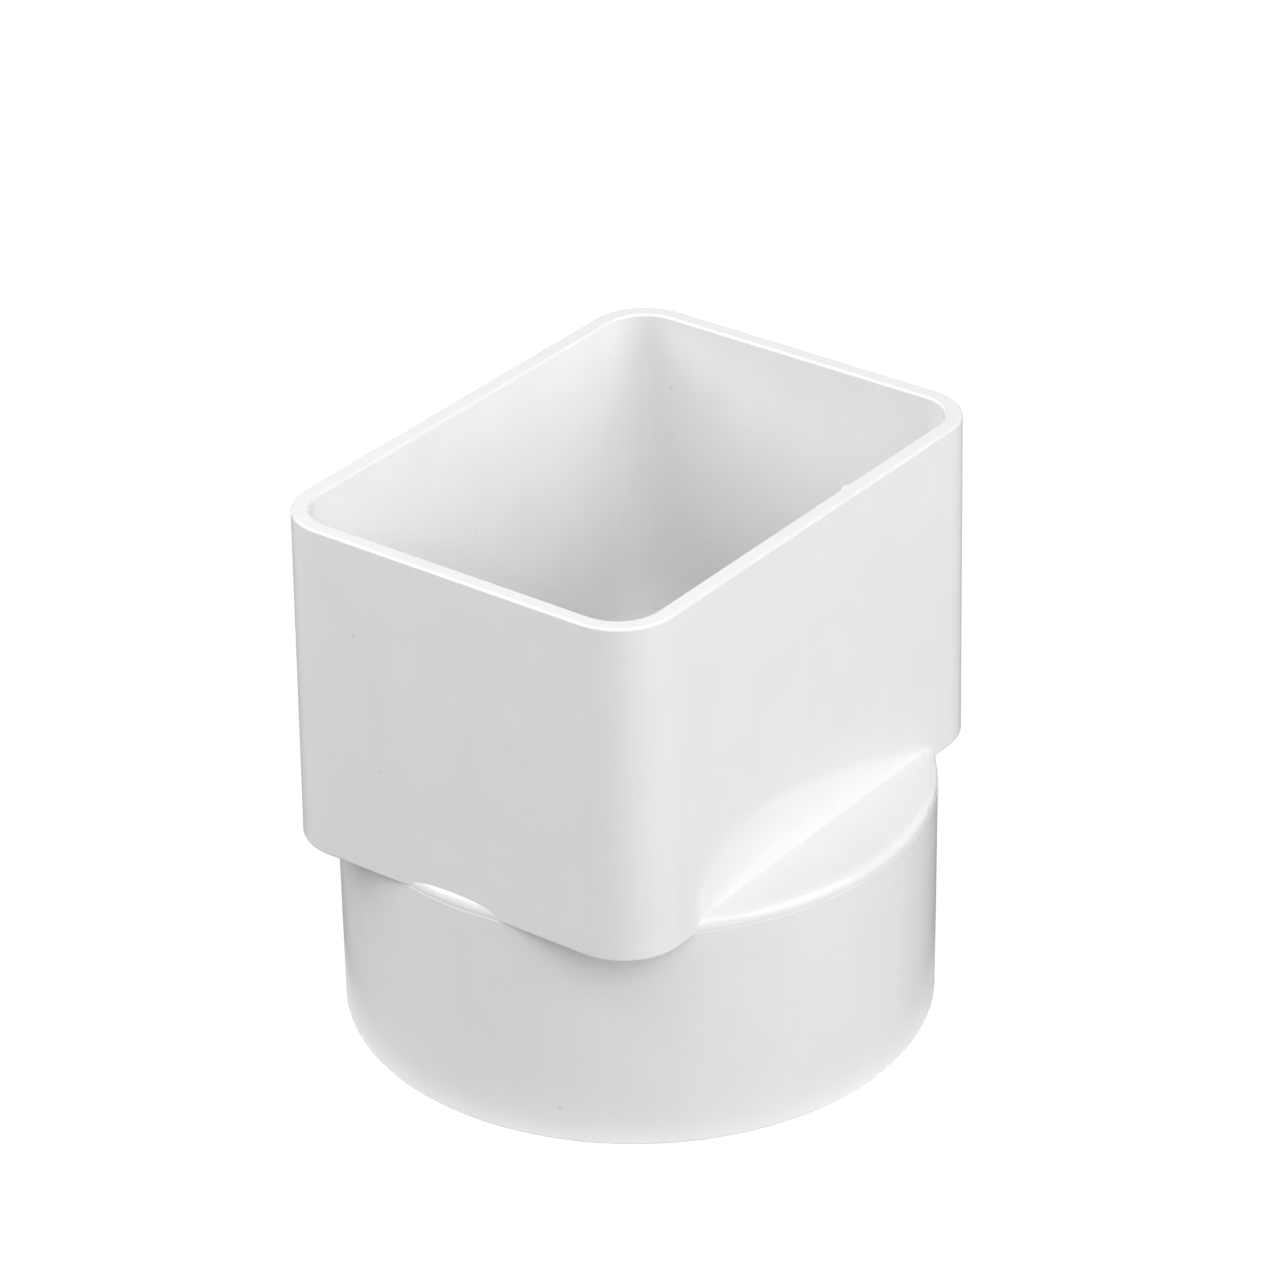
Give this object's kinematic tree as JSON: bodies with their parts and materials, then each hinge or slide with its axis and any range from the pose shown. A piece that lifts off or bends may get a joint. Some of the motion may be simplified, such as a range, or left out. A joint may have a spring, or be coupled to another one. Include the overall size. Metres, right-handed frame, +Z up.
{
  "type": "downspout adapter",
  "caption": "White moulded plastic adapter that joins a rectangular downspout to a round drain pipe: round-cornered rectangular tube on a round collar, with crescent shoulders between.",
  "frame": {"origin": "bottom centre of the round collar, on its axis", "axes": "+Z up along the collar's axis to the rectangular tube's rim, X along the tube's long side, Y along its short side"},
  "size_m": [0.088, 0.088, 0.0872],
  "materials": {
    "white_plastic": "semi-gloss, as moulded"
  },
  "bodies": {
    "root": {"adapter": "white_plastic"}
  },
  "joints": []
}
